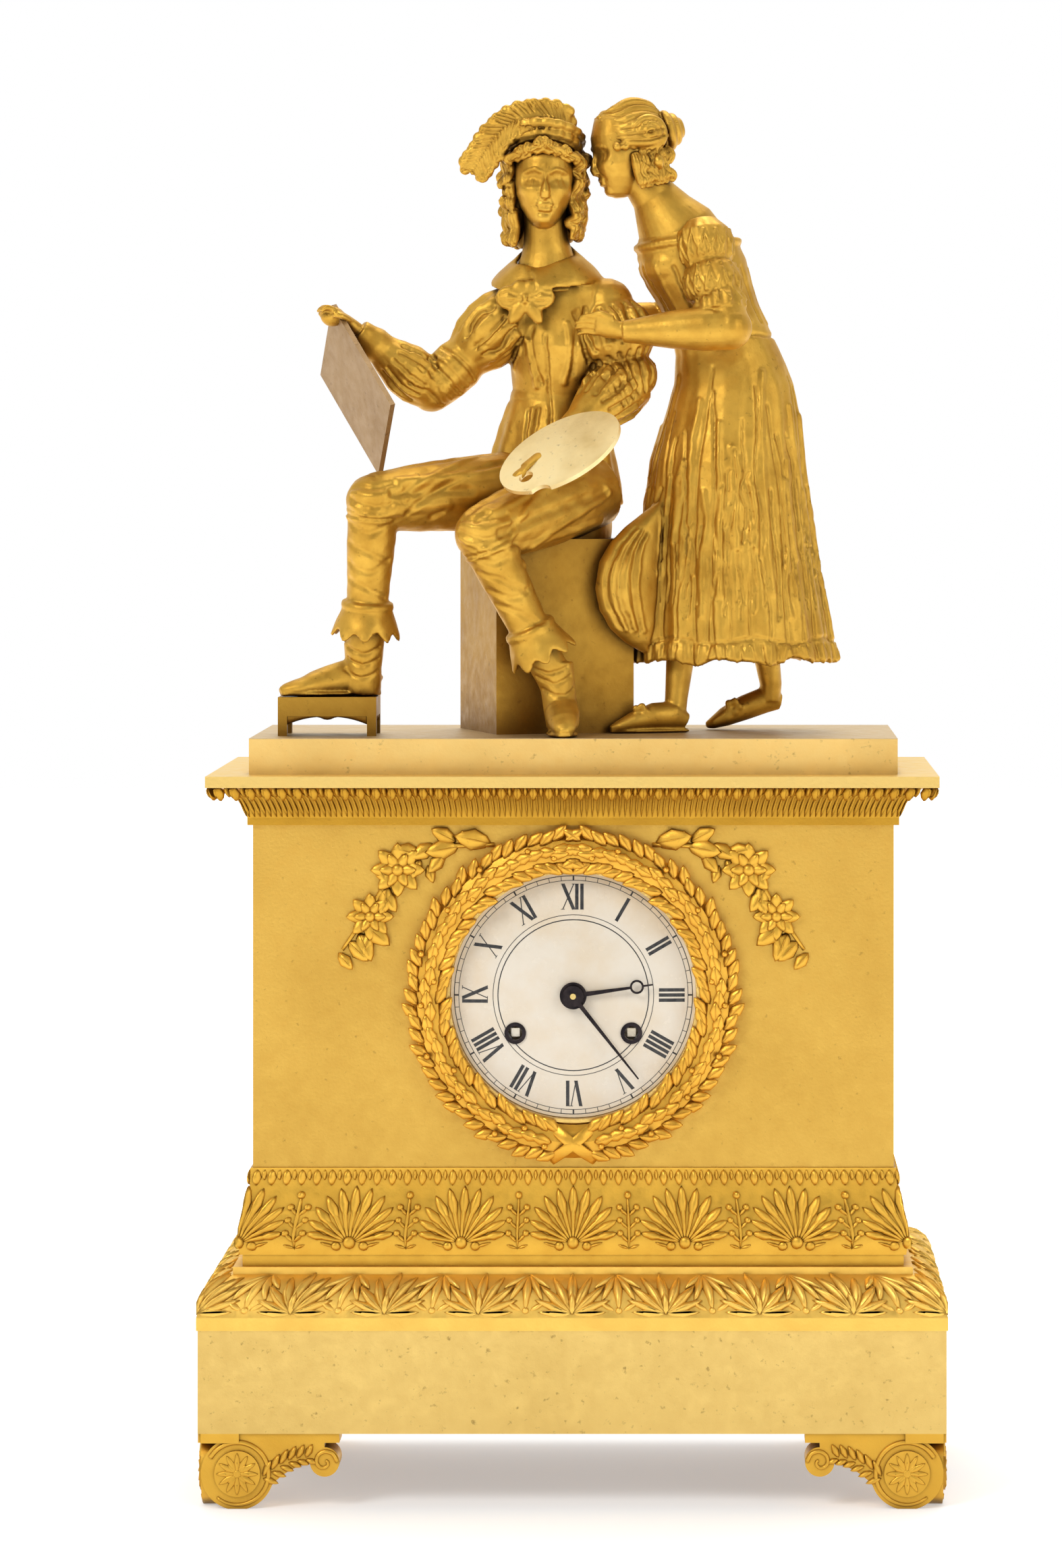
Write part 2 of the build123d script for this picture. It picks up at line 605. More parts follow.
def build_motion_work():
    cannon_phase = 0.0
    wheel_phase = matched(CENTRE, CANNON_LEAVES, cannon_phase, MINUTE_STUD, MINUTE_TEETH)
    pipe_bore = CENTRE_R + RUN
    low = PLATE_FRONT - 1.6
    cannon = plate(pinion(CANNON_LEAVES, CANNON_MODULE, cannon_phase), 0, 0, low, PLATE_FRONT - 0.3)
    cannon += disc(0, 0, PIPE_R, MINUTE_HAND_DEPTH, low)
    nodes["cannon_pinion"] = cannon - disc(0, 0, pipe_bore, MINUTE_HAND_DEPTH - 1, PLATE_FRONT)

    minute_pinion_phase = 0.0
    hour_phase = matched(MINUTE_STUD, MINUTE_LEAVES, minute_pinion_phase, CENTRE, HOUR_TEETH)
    minute_blank = wheel(MINUTE_TEETH, CANNON_MODULE, wheel_phase, 2.2)
    minute_pinion = pinion(MINUTE_LEAVES, HOUR_MODULE, minute_pinion_phase)
    minute = plate(minute_blank, *MINUTE_STUD, low + 0.2, PLATE_FRONT - 0.4)
    minute += plate(minute_pinion, *MINUTE_STUD, low - 2.6, low + 0.2)
    nodes["minute_wheel"] = minute - disc(*MINUTE_STUD, STUD_R + RUN, low - 4, PLATE_FRONT)

    hour = plate(wheel(HOUR_TEETH, HOUR_MODULE, hour_phase, 3.2), 0, 0, low - 2.0, low - 1.0)
    hour += disc(0, 0, HOUR_PIPE_R, HOUR_HAND_DEPTH + HAND_T, low - 1.0)
    hour += disc(0, 0, HOUR_PIPE_R - 0.3, HOUR_HAND_DEPTH, HOUR_HAND_DEPTH + HAND_T)
    nodes["hour_wheel"] = hour - disc(0, 0, PIPE_R + RUN, HOUR_HAND_DEPTH - 1, PLATE_FRONT)

    hour_outline = hand(HOUR_HAND_L, 0.8 * HOUR_HAND_L, 2.4, 4.6, HOUR_PIPE_R - 0.3, 0.9)
    hour_outline = Rot(0, 0, -HOUR_ANGLE) * hour_outline
    nodes["hour_hand"] = plate(hour_outline, 0, 0, HOUR_HAND_DEPTH, HOUR_HAND_DEPTH + HAND_T)
    minute_outline = Rot(0, 0, -MINUTE_ANGLE) * hand(MINUTE_HAND_L, 0, 0, 3.6, CENTRE_R + RUN, 0.8)
    nodes["minute_hand"] = plate(minute_outline, 0, 0, MINUTE_HAND_DEPTH - HAND_T, MINUTE_HAND_DEPTH)


def build_strike_train():
    second_phase = matched(STRIKE_BARREL, BARREL_TEETH, 0, STRIKE_SECOND, SECOND_LEAVES)
    second = disc(*STRIKE_SECOND, ARBOR_R, INSIDE + END_SHAKE, INSIDE_BACK - END_SHAKE)
    second += disc(*STRIKE_SECOND, PIVOT_R, PLATE_FRONT + 0.3, INSIDE + 1)
    second += disc(*STRIKE_SECOND, COUNT_PIVOT_R, INSIDE_BACK - 1, COUNT_BACK + 0.8)
    nodes["strike_second_wheel"] = (
        second + level(pinion(SECOND_LEAVES, BARREL_MODULE, second_phase), STRIKE_SECOND, 2.4, 5.4)
        + level(wheel(STRIKE_TEETH, STRIKE_MODULE), STRIKE_SECOND, 23.0, 24.2))
    nodes["count_wheel"] = plate(count_outline(), *STRIKE_SECOND, COUNT_BACK - 1.0, COUNT_BACK)

    pin_phase = matched(STRIKE_SECOND, STRIKE_TEETH, 0, PIN_ARBOR, PIN_LEAVES)
    pins = [disc(*beyond(PIN_ARBOR, PIN_RING_R, i * 360 / PIN_COUNT), 0.45, INSIDE + 18.0, INSIDE + 21.0)
            for i in range(PIN_COUNT)]
    pin_blank = tooth_ring(PIN_TEETH, PIN_MODULE, 0, WHEEL_TOOTH)
    pin_wheel = (
        arbor(PIN_ARBOR) + level(pinion(PIN_LEAVES, STRIKE_MODULE, pin_phase), PIN_ARBOR, 22.4, 24.8)
        + level(crossed(pin_blank, PIN_RING_R - 1.2, 2.2), PIN_ARBOR, 17.0, 18.2))
    for pin in pins:
        pin_wheel += pin
    nodes["pin_wheel"] = pin_wheel

    locking_phase = matched(PIN_ARBOR, PIN_TEETH, 0, LOCKING, LOCKING_LEAVES)
    nodes["locking_wheel"] = (
        arbor(LOCKING, 0.7) + level(pinion(LOCKING_LEAVES, PIN_MODULE, locking_phase), LOCKING, 16.4, 18.8)
        + level(wheel(LOCKING_TEETH, LOCKING_MODULE), LOCKING, 12.0, 13.0))

    warning_phase = matched(LOCKING, LOCKING_TEETH, 0, WARNING, WARNING_LEAVES)
    nodes["warning_wheel"] = (
        arbor(WARNING, 0.55)
        + level(pinion(WARNING_LEAVES, LOCKING_MODULE, warning_phase), WARNING, 11.4, 13.6)
        + level(wheel(WARNING_TEETH, WARNING_MODULE), WARNING, 7.5, 8.5))

    fly_phase = matched(WARNING, WARNING_TEETH, 0, FLY, FLY_LEAVES)
    vane = plate(Rectangle(2 * FLY_R, 0.4), *FLY, INSIDE + 14.5, INSIDE + 24.0)
    nodes["fly"] = (
        arbor(FLY, 0.45) + disc(*FLY, 1.0, INSIDE + 14.0, INSIDE + 24.5) + vane
        + level(pinion(FLY_LEAVES, WARNING_MODULE, fly_phase), FLY, 7.0, 9.0))


def count_outline():
    """Count wheel: a notch after each hour's run of blows, half hours between."""
    steps = sum(HOURS) + len(HOURS)
    blank = Circle(COUNT_R)
    blows = 0
    for hour in HOURS:
        blows += hour + 1
        at = blows * 360 / steps
        blank -= Rot(0, 0, at) * Pos(COUNT_R, 0) * Rectangle(3.2, 1.3)
    return crossed(blank, COUNT_R - 3.4, 2.6) - Circle(COUNT_PIVOT_R)


def build_escapement():
    pallets = pallet_outline()
    arbor_end = COCK_FRONT + 1.6
    anchor = level(pallets, ANCHOR, 3.4, 5.6)
    anchor += disc(*ANCHOR, 0.8, INSIDE + END_SHAKE, COCK_FRONT - END_SHAKE)
    anchor += disc(*ANCHOR, PIVOT_R, PLATE_FRONT + 0.3, arbor_end)
    crutch_front, crutch_back = CRUTCH_DEPTH, CRUTCH_DEPTH + 1.2
    stick = Circle(2.0) + Pos(0, -CRUTCH_L / 2) * Rectangle(1.4, CRUTCH_L)
    crutch = plate(stick, *ANCHOR, crutch_front, crutch_back)
    fork_z = ANCHOR[1] - CRUTCH_L
    crutch += disc(0, fork_z, 1.6, crutch_front, crutch_back)
    gap = ROD_R + 0.25
    for x in (-gap - 0.4, gap + 0.4):
        crutch += disc(x, fork_z, 0.4, crutch_front, ROD_DEPTH + ROD_R + 0.5)
    nodes["anchor"] = anchor + crutch

    bob_z = ANCHOR[1] - PENDULUM_L
    rod_top = ANCHOR[1] - 2.5
    rod = Pos(0, FACE_Y + ROD_DEPTH, DIAL_Z + (rod_top + bob_z) / 2) * Cylinder(ROD_R, rod_top - bob_z)
    eye = ring(*ANCHOR, HOOK_R + RUN, HOOK_R + 2.0, ROD_DEPTH - 0.8, ROD_DEPTH + 0.8)
    bob = turned(
        0, bob_z, (0, ROD_DEPTH - BOB_T / 2), (0.55 * BOB_R, ROD_DEPTH - 0.42 * BOB_T),
        (BOB_R, ROD_DEPTH - 0.4), (BOB_R, ROD_DEPTH + 0.4),
        (0.55 * BOB_R, ROD_DEPTH + 0.42 * BOB_T), (0, ROD_DEPTH + BOB_T / 2))
    tail = Pos(0, FACE_Y + ROD_DEPTH, DIAL_Z + bob_z - BOB_R) * Cylinder(ROD_R, 12)
    nut = Pos(0, FACE_Y + ROD_DEPTH, DIAL_Z + bob_z - BOB_R - 4) * Cylinder(2.4, 2.0)
    nodes["pendulum"] = rod + eye + bob + tail + nut

    bridge = Rectangle(26, 7) + Circle(5.2)
    cock = plate(bridge, *ANCHOR, COCK_FRONT, COCK_BACK)
    for x in (-COCK_FOOT_X, COCK_FOOT_X):
        cock += disc(x, ANCHOR[1], 3.0, PLATE_REAR, COCK_FRONT)
    cock -= disc(*ANCHOR, PIVOT_R + RUN, COCK_FRONT - 1, arbor_end + 0.3)
    cock += disc(*ANCHOR, HOOK_R, COCK_BACK - 0.4, ROD_DEPTH + 1.6)
    cock += disc(*ANCHOR, 1.6, ROD_DEPTH + 1.1, ROD_DEPTH + 2.0)
    nodes["back_cock"] = cock


def pallet_outline():
    """Anchor with two pallets drawn clear of the wheel's tips by their own swing."""
    drop = ANCHOR[1] - ESCAPE[1]
    clear = ESCAPE_R + 0.75
    outline = Circle(2.2)
    for side in (-1, 1):
        tip = polar(clear, 90 - side * PALLET_SPAN)
        toe = (tip[0], tip[1] - drop)
        heel = (toe[0] + side * 1.3, toe[1] + 0.5)
        shoulder = (side * 5.4, -1.6)
        outline += make_face(Polyline((0, -1.6), (0, 1.6), (side * 4.6, 1.0), (side * 7.0, -1.4), heel, toe,
                                      (toe[0] - side * 0.2, toe[1] + 1.4), (shoulder[0] - side * 1.0, -2.0),
                                      close=True))
    return outline


def build_frame():
    rim = Circle(PLATE_R)
    front = plate(rim, 0, 0, PLATE_FRONT, INSIDE)
    back = plate(rim, 0, 0, INSIDE_BACK, PLATE_REAR)
    pivots = [INTERMEDIATE, THIRD, ESCAPE, PIN_ARBOR, LOCKING, WARNING, FLY]
    for at in pivots + [STRIKE_SECOND, ANCHOR]:
        front -= disc(*at, PIVOT_R + RUN, PLATE_FRONT - 1, INSIDE + 1)
    for at in pivots + [CENTRE]:
        back -= disc(*at, PIVOT_R + RUN, INSIDE_BACK - 1, PLATE_REAR + 1)
    for at in (GOING_BARREL, STRIKE_BARREL):
        front -= disc(*at, WINDING_R + RUN, PLATE_FRONT - 1, INSIDE + 1)
        back -= disc(*at, 1.2 + RUN, INSIDE_BACK - 1, PLATE_REAR + 1)
    front -= disc(*CENTRE, CENTRE_R + RUN, PLATE_FRONT - 1, INSIDE + 1)
    front -= disc(*HAMMER, HAMMER_PIVOT_R + RUN, PLATE_FRONT - 1, INSIDE + 1)
    back -= disc(*STRIKE_SECOND, COUNT_PIVOT_R + RUN, INSIDE_BACK - 1, PLATE_REAR + 1)
    back -= disc(*ANCHOR, 3.0, INSIDE_BACK - 1, PLATE_REAR + 1)
    back -= disc(*HAMMER, HAMMER_R + RUN, INSIDE_BACK - 1, PLATE_REAR + 1)
    front += disc(*MINUTE_STUD, STUD_R, PLATE_FRONT - 5.2, PLATE_FRONT + 0.5)
    nodes["front_plate"] = front
    nodes["back_plate"] = back

    pillars = []
    for angle in PILLAR_ANGLES:
        x, z = polar(PILLAR_RING_R, angle)
        middle = INSIDE + PLATE_GAP / 2
        waist, belly = 0.7 * PILLAR_R, 0.9 * PILLAR_R
        pillars.append(turned(
            x, z, (0, INSIDE), (PILLAR_R, INSIDE), (PILLAR_R, INSIDE + 3),
            (waist, INSIDE + 4), (belly, middle), (waist, INSIDE_BACK - 4),
            (PILLAR_R, INSIDE_BACK - 3), (PILLAR_R, INSIDE_BACK), (0, INSIDE_BACK)))
    nodes["plate_pillars"] = pillars

    straps = []
    for side in (-1, 1):
        x = side * STRAP_X
        bar = plate(Rectangle(STRAP_T, STRAP_W), x, 0, BEZEL_BACK, BACK_WEB)
        straps.append(bar)
    nodes["movement_straps"] = straps


def build_strike_work():
    bearing = degrees(atan2(HAMMER[1] - PIN_ARBOR[1], HAMMER[0] - PIN_ARBOR[0]))
    tail_at = beyond(PIN_ARBOR, PIN_RING_R + 1.6, bearing)
    tail = (tail_at[0] - HAMMER[0], tail_at[1] - HAMMER[1])
    lever = Circle(2.0) + Pos(*tail) * Circle(0.8)
    lever += make_hull(lever.edges())
    head = (BELL_AT[0] - BELL_R - 0.5 - HEAD_L / 2, BELL_AT[1] - 5.0)
    reach = (head[0] - HAMMER[0], head[1] - HAMMER[1])
    shank = Circle(2.0) + Pos(*reach) * Circle(1.0)
    shank += make_hull(shank.edges())
    hammer = disc(*HAMMER, HAMMER_R, INSIDE + END_SHAKE, HAMMER_BACK)
    hammer += disc(*HAMMER, HAMMER_PIVOT_R, PLATE_FRONT + 0.3, INSIDE + 1)
    hammer += level(lever, HAMMER, 18.6, 20.4)
    hammer += plate(shank, *HAMMER, HAMMER_BACK - 1.4, HAMMER_BACK)
    hammer += plate(Pos(*head) * Rectangle(HEAD_L, 6.0), 0, 0, HAMMER_BACK - 3.0, HAMMER_BACK + 3.0)
    nodes["hammer"] = hammer

    crown = BELL_FRONT + BELL_DEPTH
    dome_r = (BELL_R**2 + BELL_DEPTH**2) / (2 * BELL_DEPTH)
    dome_at = crown - dome_r
    base = Plane(origin=(BELL_AT[0], FACE_Y, DIAL_Z + BELL_AT[1]), x_dir=(1, 0, 0), z_dir=(0, 0, 1))

    def cap(radius):
        """Rim, half-way and crown points of a spherical cap, as (radius, depth)."""
        rim = acos((BELL_FRONT - dome_at) / radius)
        top = asin(STUD_HOLE_R / radius)
        return [(radius * sin(a), dome_at + radius * cos(a)) for a in (rim, (rim + top) / 2, top)]

    outer, inner = cap(dome_r), cap(dome_r - BELL_WALL)
    shell = make_face([
        Line(outer[0], inner[0]), ThreePointArc(*inner), Line(inner[2], outer[2]), ThreePointArc(*outer)])
    nodes["bell"] = revolve(base * shell, Axis((BELL_AT[0], FACE_Y, DIAL_Z + BELL_AT[1]), (0, 1, 0)))

    stem_r = 1.8
    post = disc(*STAND_AT, 2 * stem_r, PLATE_REAR, PLATE_REAR + 1.5)
    post += disc(*STAND_AT, stem_r, PLATE_REAR, STAND_DEPTH + stem_r)
    arm = Pos(*STAND_AT) * Circle(stem_r) + Pos(*BELL_AT) * Circle(stem_r)
    arm += make_hull(arm.edges())
    post += plate(arm, 0, 0, STAND_DEPTH - stem_r, STAND_DEPTH + stem_r)
    post += disc(*BELL_AT, 2.6, STAND_DEPTH, crown - BELL_WALL - 0.3)
    post += disc(*BELL_AT, STUD_HOLE_R - RUN, STAND_DEPTH, crown + 1)
    post += disc(*BELL_AT, BELL_NUT_R, crown, crown + BELL_NUT_T)
    nodes["bell_stand"] = post


def build_back():
    inner = BACK_TUBE_R - BACK_TUBE_WALL
    web_inner = PLATE_R
    bezel = turned(
        0, 0, (web_inner, BACK_WEB), (BACK_TUBE_R, BACK_WEB), (BACK_TUBE_R, REAR), (FLANGE_BACK_R, REAR),
        (FLANGE_BACK_R, REAR + FLANGE_T), (inner, REAR + FLANGE_T), (inner, BACK_WEB + 1.4),
        (web_inner, BACK_WEB + 1.4))
    hinge_depth = REAR + FLANGE_T + KNUCKLE_R
    hinge_at = (-HINGE_X, FACE_Y + hinge_depth, DIAL_Z)
    upright = Location(hinge_at)
    for z in (-KNUCKLE_L - HINGE_GAP, KNUCKLE_L + HINGE_GAP):
        ear = Box(HINGE_X - FLANGE_BACK_R + 1.0, KNUCKLE_R, KNUCKLE_L)
        bezel += upright * Pos((HINGE_X - FLANGE_BACK_R + 1.0) / 2, -KNUCKLE_R / 2 - 0.2, z) * ear
        bezel += upright * Pos(0, 0, z) * Cylinder(KNUCKLE_R, KNUCKLE_L)
    pin_l = 3 * KNUCKLE_L + 2 * HINGE_GAP
    bezel += upright * Cylinder(HINGE_PIN_R, pin_l)
    nodes["back_bezel"] = bezel

    front, back = DOOR_FRONT, DOOR_FRONT + DOOR_T
    flat_r, dome_r = 0.86 * DOOR_R, 0.7 * DOOR_R
    door = turned(
        0, 0, (0, back + DOOR_DOME), (dome_r, back + DOOR_DOME), (flat_r, back), (DOOR_R, back),
        (DOOR_R, front), (flat_r, front), (dome_r, front + DOOR_DOME), (0, front + DOOR_DOME))
    strip = HINGE_X - DOOR_R + 4.0
    leaf = Box(strip, DOOR_T, KNUCKLE_L - HINGE_GAP)
    door += upright * Pos(strip / 2, front + DOOR_T / 2 - hinge_depth, 0) * leaf
    door += upright * Cylinder(KNUCKLE_R, KNUCKLE_L - HINGE_GAP)
    door -= upright * Cylinder(HINGE_PIN_R + RUN, pin_l)
    knob = (DOOR_R - 6.0, 0.0)
    door += disc(*knob, 1.4, back - 0.5, back + 3.0)
    door += disc(*knob, 3.0, back + 3.0, back + 5.5)
    nodes["back_door"] = door

    screws = []
    for side in (-1, 1):
        x = side * STRAP_X
        screws.append(disc(x, 0, 1.8, BACK_WEB + 1.4, BACK_WEB + 2.6))
    for x in (-COCK_FOOT_X, COCK_FOOT_X):
        screws.append(disc(x, ANCHOR[1], 2.0, COCK_BACK, COCK_BACK + 1.2))
    nodes["screws"] = screws


# Figures

def spot(x, y, height):
    return Vector(x, y, Z_TOP + height)


def limb(*stations, side=(1, 0, 0)):
    """Form ruled through oval sections: each station is a place, half width along side, half depth."""
    places = [spot(*station[0]) for station in stations]
    sections = []
    for i, (_, half_w, half_d) in enumerate(stations):
        steps = [(b - a).normalized() for a, b in zip(places[max(i - 1, 0):i + 1], places[max(i, 1):i + 2])]
        normal = (steps[0] + steps[-1]).normalized()
        across = Vector(*side)
        across = (across - normal * across.dot(normal)).normalized()
        sections.append(Plane(origin=places[i], x_dir=across, z_dir=normal) * Ellipse(half_w, half_d))
    return loft(sections, ruled=True)


def knob(place, radius):
    """Round of a shoulder, elbow or knee."""
    return Location(spot(*place)) * Sphere(radius)


def ball(place, half_x, half_y, half_z):
    return Location(spot(*place)) * scale(Sphere(1), (half_x, half_y, half_z))


def between(a, b, share, lift=(0, 0, 0)):
    return tuple(p + share * (q - p) + up for p, q, up in zip(a, b, lift))


def build_props():
    seat = Location((*SEAT_AT, Z_TOP + SEAT_H / 2), (0, 0, SEAT_TURN)) * Box(SEAT_SIDE, SEAT_SIDE, SEAT_H)
    nodes["seat_block"] = seat

    stool = Box(STOOL_W, STOOL_D, STOOL_H)
    legs_h = STOOL_H - STOOL_TOP
    inner_w, inner_d = STOOL_W - 2 * STOOL_LEG, STOOL_D - 2 * STOOL_LEG
    apron = 3.6
    stool -= Pos(0, 0, -STOOL_TOP / 2) * Box(inner_w, inner_d, legs_h)
    for width, depth in ((inner_w, STOOL_D + 2), (STOOL_W + 2, inner_d)):
        stool -= Pos(0, 0, -(STOOL_TOP + apron) / 2) * Box(width, depth, legs_h - apron)
    nodes["footstool"] = Location((*STOOL_AT, Z_TOP + STOOL_H / 2)) * stool

    along, face = Vector(0.883, 0, 0.469), Vector(-0.379, -0.588, 0.714)
    outline = Ellipse(PALETTE_L, PALETTE_W) - Pos(-0.62 * PALETTE_L, -0.25 * PALETTE_W) * Circle(2.6)
    outline -= Pos(-0.55 * PALETTE_L, -1.0 * PALETTE_W) * Circle(4.5)
    held = Plane(origin=spot(*PALETTE_AT), x_dir=along, z_dir=face)
    nodes["palette"] = extrude(held * outline, PALETTE_T / 2, both=True)

    down = Vector(22.2, -28, -35.2).normalized()
    normal = Vector(0.881, 0.414, 0.226)
    leaning = Plane(origin=spot(*BOARD_AT), x_dir=down, z_dir=normal)
    nodes["drawing_board"] = extrude(leaning * Rectangle(BOARD_L, BOARD_W), BOARD_T / 2, both=True)


def arm(shoulder, elbow, wrist, hand, upper, lower, side):
    """Sleeved arm: upper and lower are half widths along the sleeve, shoulder to elbow to wrist."""
    upper_steps = [(between(shoulder, elbow, i / (len(upper) - 1)), r, r) for i, r in enumerate(upper)]
    lower_steps = [(between(elbow, wrist, i / (len(lower) - 1)), r, r) for i, r in enumerate(lower)]
    palm = between(wrist, hand, 0.55)
    fingers = limb((wrist, 3.4, 3.0), (palm, 4.6, 3.2), (hand, 3.2, 2.2), side=side)
    shape = limb(*upper_steps, side=side) + knob(shoulder, upper[0]) + knob(elbow, min(upper[-1], lower[0]))
    return shape + limb(*lower_steps, side=side) + fingers


def build_painter():
    seat, board = nodes["seat_block"], nodes["drawing_board"]
    palette, stool = nodes["palette"], nodes["footstool"]
    body = limb(
        ((-7, 10, 60), 19, 17), ((-7, 10, 68), 21.5, 19), ((-7, 9.5, 78), 22.5, 19.5),
        ((-8, 8, 88), 21.5, 18), ((-8.5, 7, 96), 18.5, 15), ((-8.5, 6, 104), 16, 13),
        ((-7.5, 5, 113), 16.5, 13.2), ((-6, 4, 124), 18, 14), ((-5, 2.5, 136), 19, 14.5),
        ((-5, 2, 146), 19.5, 13), ((-6, 1.5, 153), 18.5, 12), ((-7.5, 1, 159), 14.5, 10.5),
        ((-9, 0.5, 164), 9.5, 8.5), ((-9.5, 0, 167), 6.8, 7.0))
    body = cut(body, seat)
    nodes["painter_body"] = body

    neck = limb(((-9.5, 0, 160), 6.0, 6.0), ((-10.5, -2, 170), 5.8, 6.0), ((-11, -3, 180), 6.4, 6.8))
    head = neck + ball((-11.5, -5, 190), 11.2, 12.5, 13.5) + ball((-12, -1.5, 193), 15.5, 13.0, 15.0)
    for x, low in ((-21, 169.5), (0.5, 171)):
        head += limb(
            ((x, 0, low), 2.6, 3.0), ((x, 0, low + 5), 4.6, 5.4), ((x, 0, low + 14), 5.4, 7.0),
            ((x, 0, 195), 4.4, 7.0))
    cap = limb(
        ((-12, -3, 199), 15.2, 14.5), ((-12.3, -3, 205), 16.2, 15.4), ((-12.6, -2.5, 210), 15.4, 14.6),
        ((-13, -2, 215), 12.8, 12.2), ((-13.3, -1.5, 219), 8.0, 7.6), ((-13.3, -1.5, 220.8), 3.0, 3.0))
    plume = limb(
        ((-9, -4, 215), 3.0, 2.6), ((-16, -6, 218.6), 4.4, 3.4), ((-23.5, -8, 216.8), 5.2, 4.0),
        ((-30, -8.5, 211), 5.6, 3.8), ((-34, -8, 203), 5.6, 3.4), ((-37.5, -7, 195), 4.4, 2.6),
        ((-39, -6.5, 191.5), 1.8, 1.2), side=(0.5, 0, 0.8))
    nodes["painter_head"] = cut(head + cap + plume, body)

    right_arm = arm(RIGHT_SHOULDER, RIGHT_ELBOW, RIGHT_WRIST, RIGHT_HAND,
                    (10.5, 11.5, 11.5, 8.5), (8.0, 9.4, 8.4, 5.2, 4.6), (0, 1, 0))
    nodes["painter_right_arm"] = cut(right_arm, body, board)

    left_arm = arm(LEFT_SHOULDER, LEFT_ELBOW, LEFT_WRIST, LEFT_HAND,
                   (10.5, 12.5, 13.0, 12.0), (10.5, 7.4, 5.2, 4.6), (1, 0, 0))
    nodes["painter_left_arm"] = cut(left_arm, palette, body)

    def leg(hip, knee, ankle, cuff_at, thigh, shin, side):
        thigh_steps = [(between(hip, knee, i / (len(thigh) - 1)), r, r) for i, r in enumerate(thigh)]
        shin_steps = [(between(knee, ankle, i / (len(shin) - 1)), r, r) for i, r in enumerate(shin)]
        cuff_low, cuff_mid, cuff_top = (between(knee, ankle, cuff_at + step) for step in (0.18, 0.0, -0.08))
        cuff = limb((cuff_low, 7.0, 7.0), (cuff_mid, 11.5, 11.0), (cuff_top, 10.8, 10.4))
        return limb(*thigh_steps, side=side) + knob(knee, thigh[-1]) + limb(*shin_steps) + cuff

    right_leg = leg(RIGHT_HIP, RIGHT_KNEE, RIGHT_ANKLE, RIGHT_CUFF,
                    (12, 12.5, 12, 9.5), (9, 9.4, 8.4, 6.8), (0, 1, 0))
    right_leg += limb((RIGHT_ANKLE, 6.4, 6.6), ((-74.5, -20.5, 14), 6.6, 7.2))
    right_leg += limb(
        ((-69.5, -17.5, 16.5), 3.6, 4.0), ((-72, -18.5, 18.5), 5.2, 6.0), ((-79, -21, 19.5), 6.0, 6.6),
        ((-89, -24.5, 17.5), 5.4, 4.6), ((-98, -27.5, 15.5), 4.2, 2.8), ((-102, -29, 14.6), 2.0, 1.4),
        side=(0, 1, 0))
    nodes["painter_right_leg"] = cut(right_leg, body, board, seat, stool)

    left_leg = leg(LEFT_HIP, LEFT_KNEE, LEFT_ANKLE, LEFT_CUFF,
                   (12.5, 12.5, 12, 9.5), (9, 9.2, 8.2, 6.6), (1, 0, 0))
    left_leg += limb((LEFT_ANKLE, 6.2, 6.4), ((-4.6, -30, 8), 5.6, 6.4))
    left_leg += limb(
        ((-4.8, -24, 10), 4.0, 4.4), ((-4.5, -29, 9.5), 5.4, 6.6), ((-4, -36, 7.4), 5.8, 5.2),
        ((-3.3, -44, 4), 4.8, 3.6), ((-3.0, -48, 2), 2.4, 1.8))
    nodes["painter_left_leg"] = cut(left_leg, body, seat, nodes["painter_right_leg"], palette,
                                    nodes["painter_left_arm"], nodes["terrace"])
    nodes["painter_right_arm"] = cut(nodes["painter_right_arm"], nodes["painter_right_leg"])


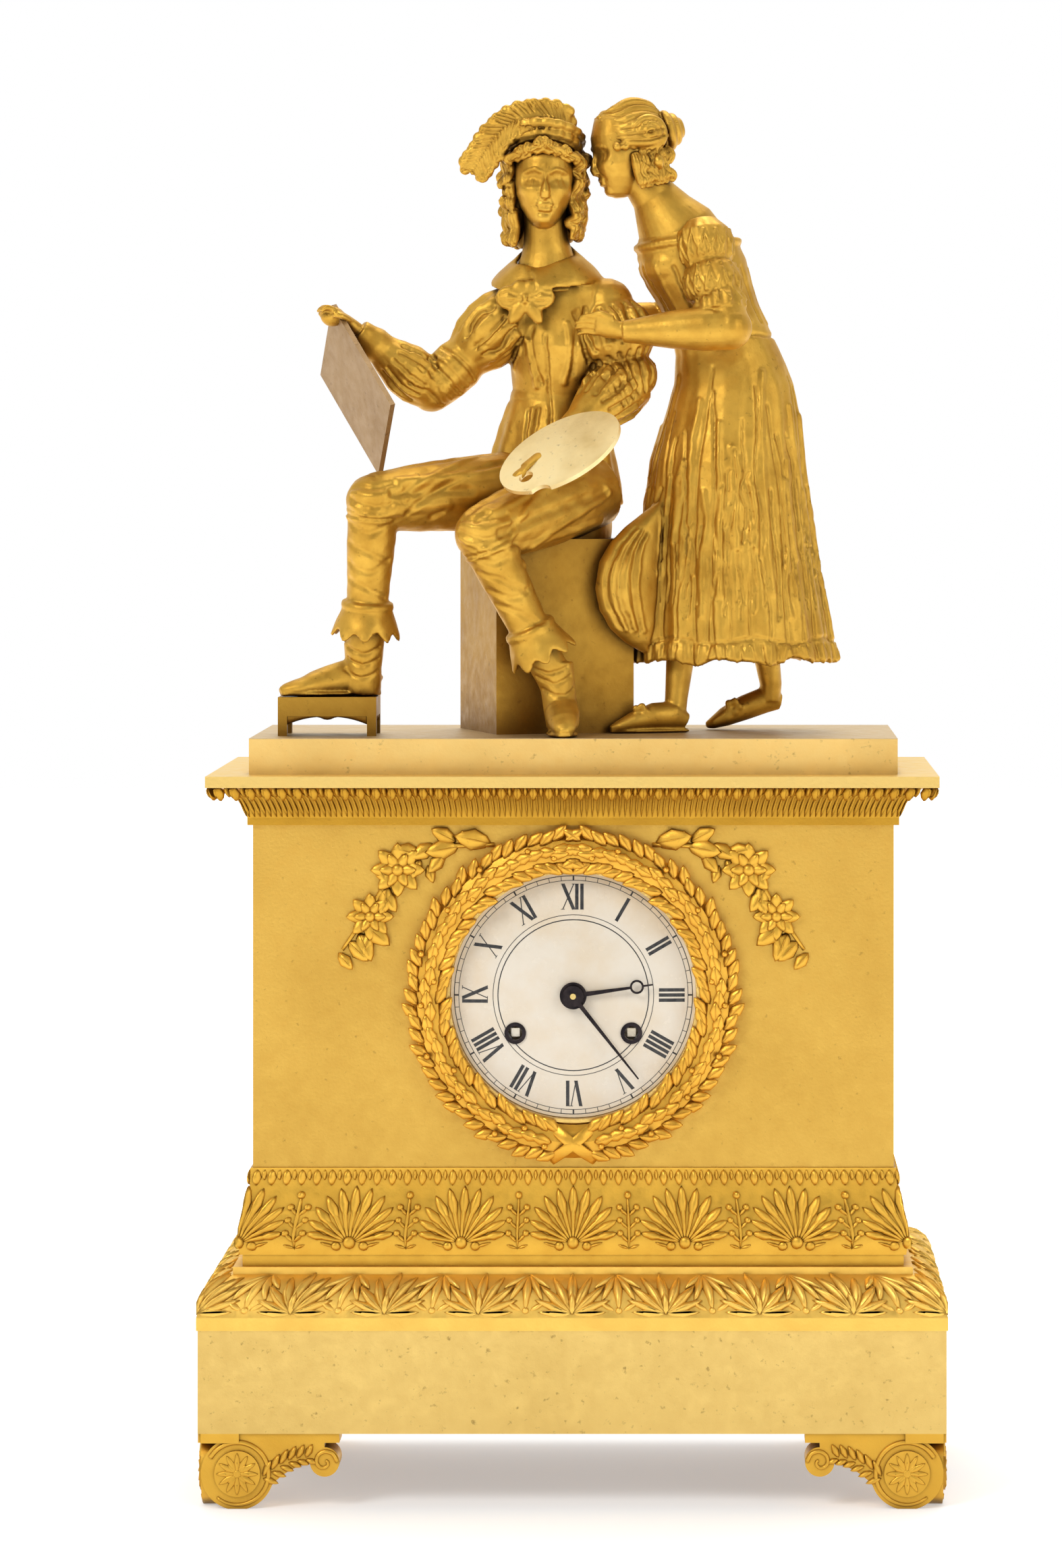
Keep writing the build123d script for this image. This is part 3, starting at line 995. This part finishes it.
def build_woman():
    gown = limb(
        ((55.5, 6, GOWN_HEM), 36.5, 29.5), ((54.8, 6, 36), 34.5, 28), ((53.5, 6, 55), 32, 26),
        ((52.8, 6, 75), 29.5, 24), ((53, 6, 95), 26.8, 22), ((55, 6, 112), 23.5, 19),
        ((55, 5.5, 126), 20.0, 16.5), ((52, 5, 138), 17.4, 14.5), ((46.5, 4.5, 149), 17.5, 15.0),
        ((41.5, 4, 158), 18.5, 15.5), ((39.5, 3.5, 167), 18.5, 15.5), ((38.5, 3, 175), 16.5, 14.0),
        ((36.5, 2.5, 182), 12.0, 11.0), ((33, 2, 188), 7.0, 7.4))
    gown += limb(
        ((27, -7, 28), 3, 4), ((17.5, -15, 35), 6.8, 5.6), ((15, -16.5, 45), 8.2, 6.6),
        ((15, -16.5, 57), 8.2, 6.6), ((18, -15, 69), 6.5, 6.0), ((28, -7, 82), 4.0, 5.0))
    hollow = limb(((55.5, 6, GOWN_HEM - 1), 33, 26), ((54.5, 6, GOWN_HOLLOW), 29, 22.5))
    gown = cut(gown - hollow, nodes["seat_block"], nodes["painter_body"], nodes["painter_left_arm"])
    nodes["woman_gown"] = gown

    head = limb(((34.5, 2, 182), 5.8, 6.0), ((28.5, 1, 189), 5.6, 5.8), ((22.5, 0, 196), 5.8, 6.2))
    head += ball((17.0, 0, 203), 13.2, 11.2, 13.2) + ball((20.0, 1, 209), 13.0, 12.0, 12.5)
    head += ball((30, 3, 212), 7.0, 7.4, 7.0)
    nodes["woman_head"] = cut(head, gown, nodes["painter_head"])

    left = arm((45, -9, 172), (54, -21, 137), (18, -21, 140.5), (5, -16.5, 143),
               (8.5, 10.5, 9.5, 6.4), (5.6, 6.0, 5.0, 3.6), (0, 1, 0.2))
    right = arm((37.5, 13, 170), (32, 27, 146), (14, 21, 148), (5, 15.5, 151),
                (8.0, 9.0, 7.5, 5.6), (5.2, 5.0, 4.2, 3.4), (0, 0.3, 1))
    neighbours = gown, nodes["painter_left_arm"], nodes["painter_body"]
    nodes["woman_arms"] = [cut(one, *neighbours) for one in (left, right)]

    front = limb(
        ((38, 0, GOWN_HOLLOW + 2), 6, 6), ((36, -4, 20), 4.6, 4.8), ((34.5, -5, 9), 4.2, 4.8),
        ((34.2, -5.2, 3), 3.6, 4.2))
    front += limb(
        ((38, -5.5, 3.6), 2.8, 3.2), ((33, -7, 6), 4.2, 5.4), ((26, -9, 5.5), 4.4, 4.8),
        ((18, -11.5, 3.4), 4.0, 3.2), ((12, -13.5, 1.6), 1.8, 1.4), side=(0, 1, 0))
    rear = limb(
        ((64, 14, GOWN_HOLLOW + 2), 6, 6), ((67, 17, 24), 4.4, 4.6), ((68.5, 18.5, 14), 4.0, 4.4),
        ((68, 18.5, 9), 3.4, 4.0))
    rear += limb(
        ((71.5, 19.5, 9), 2.6, 3.0), ((66, 18.5, 10), 4.0, 4.8), ((58, 17, 7), 4.2, 4.4),
        ((51, 15.3, 3.6), 4.0, 3.2), ((45.5, 14, 1.6), 1.8, 1.4), side=(0, 1, 0))
    nodes["woman_feet"] = [cut(foot, gown, nodes["terrace"], nodes["seat_block"]) for foot in (front, rear)]


build_case()
build_dial()
build_frame()
build_barrels()
build_going_train()
build_motion_work()
build_strike_train()
build_escapement()
build_strike_work()
build_back()
build_props()
build_painter()
build_woman()

os.makedirs("parts", exist_ok=True)
for name, shape in nodes.items():
    solids = shape if isinstance(shape, list) else shape.solids()
    export_step(Compound(children=list(solids)), f"parts/{name}.step")
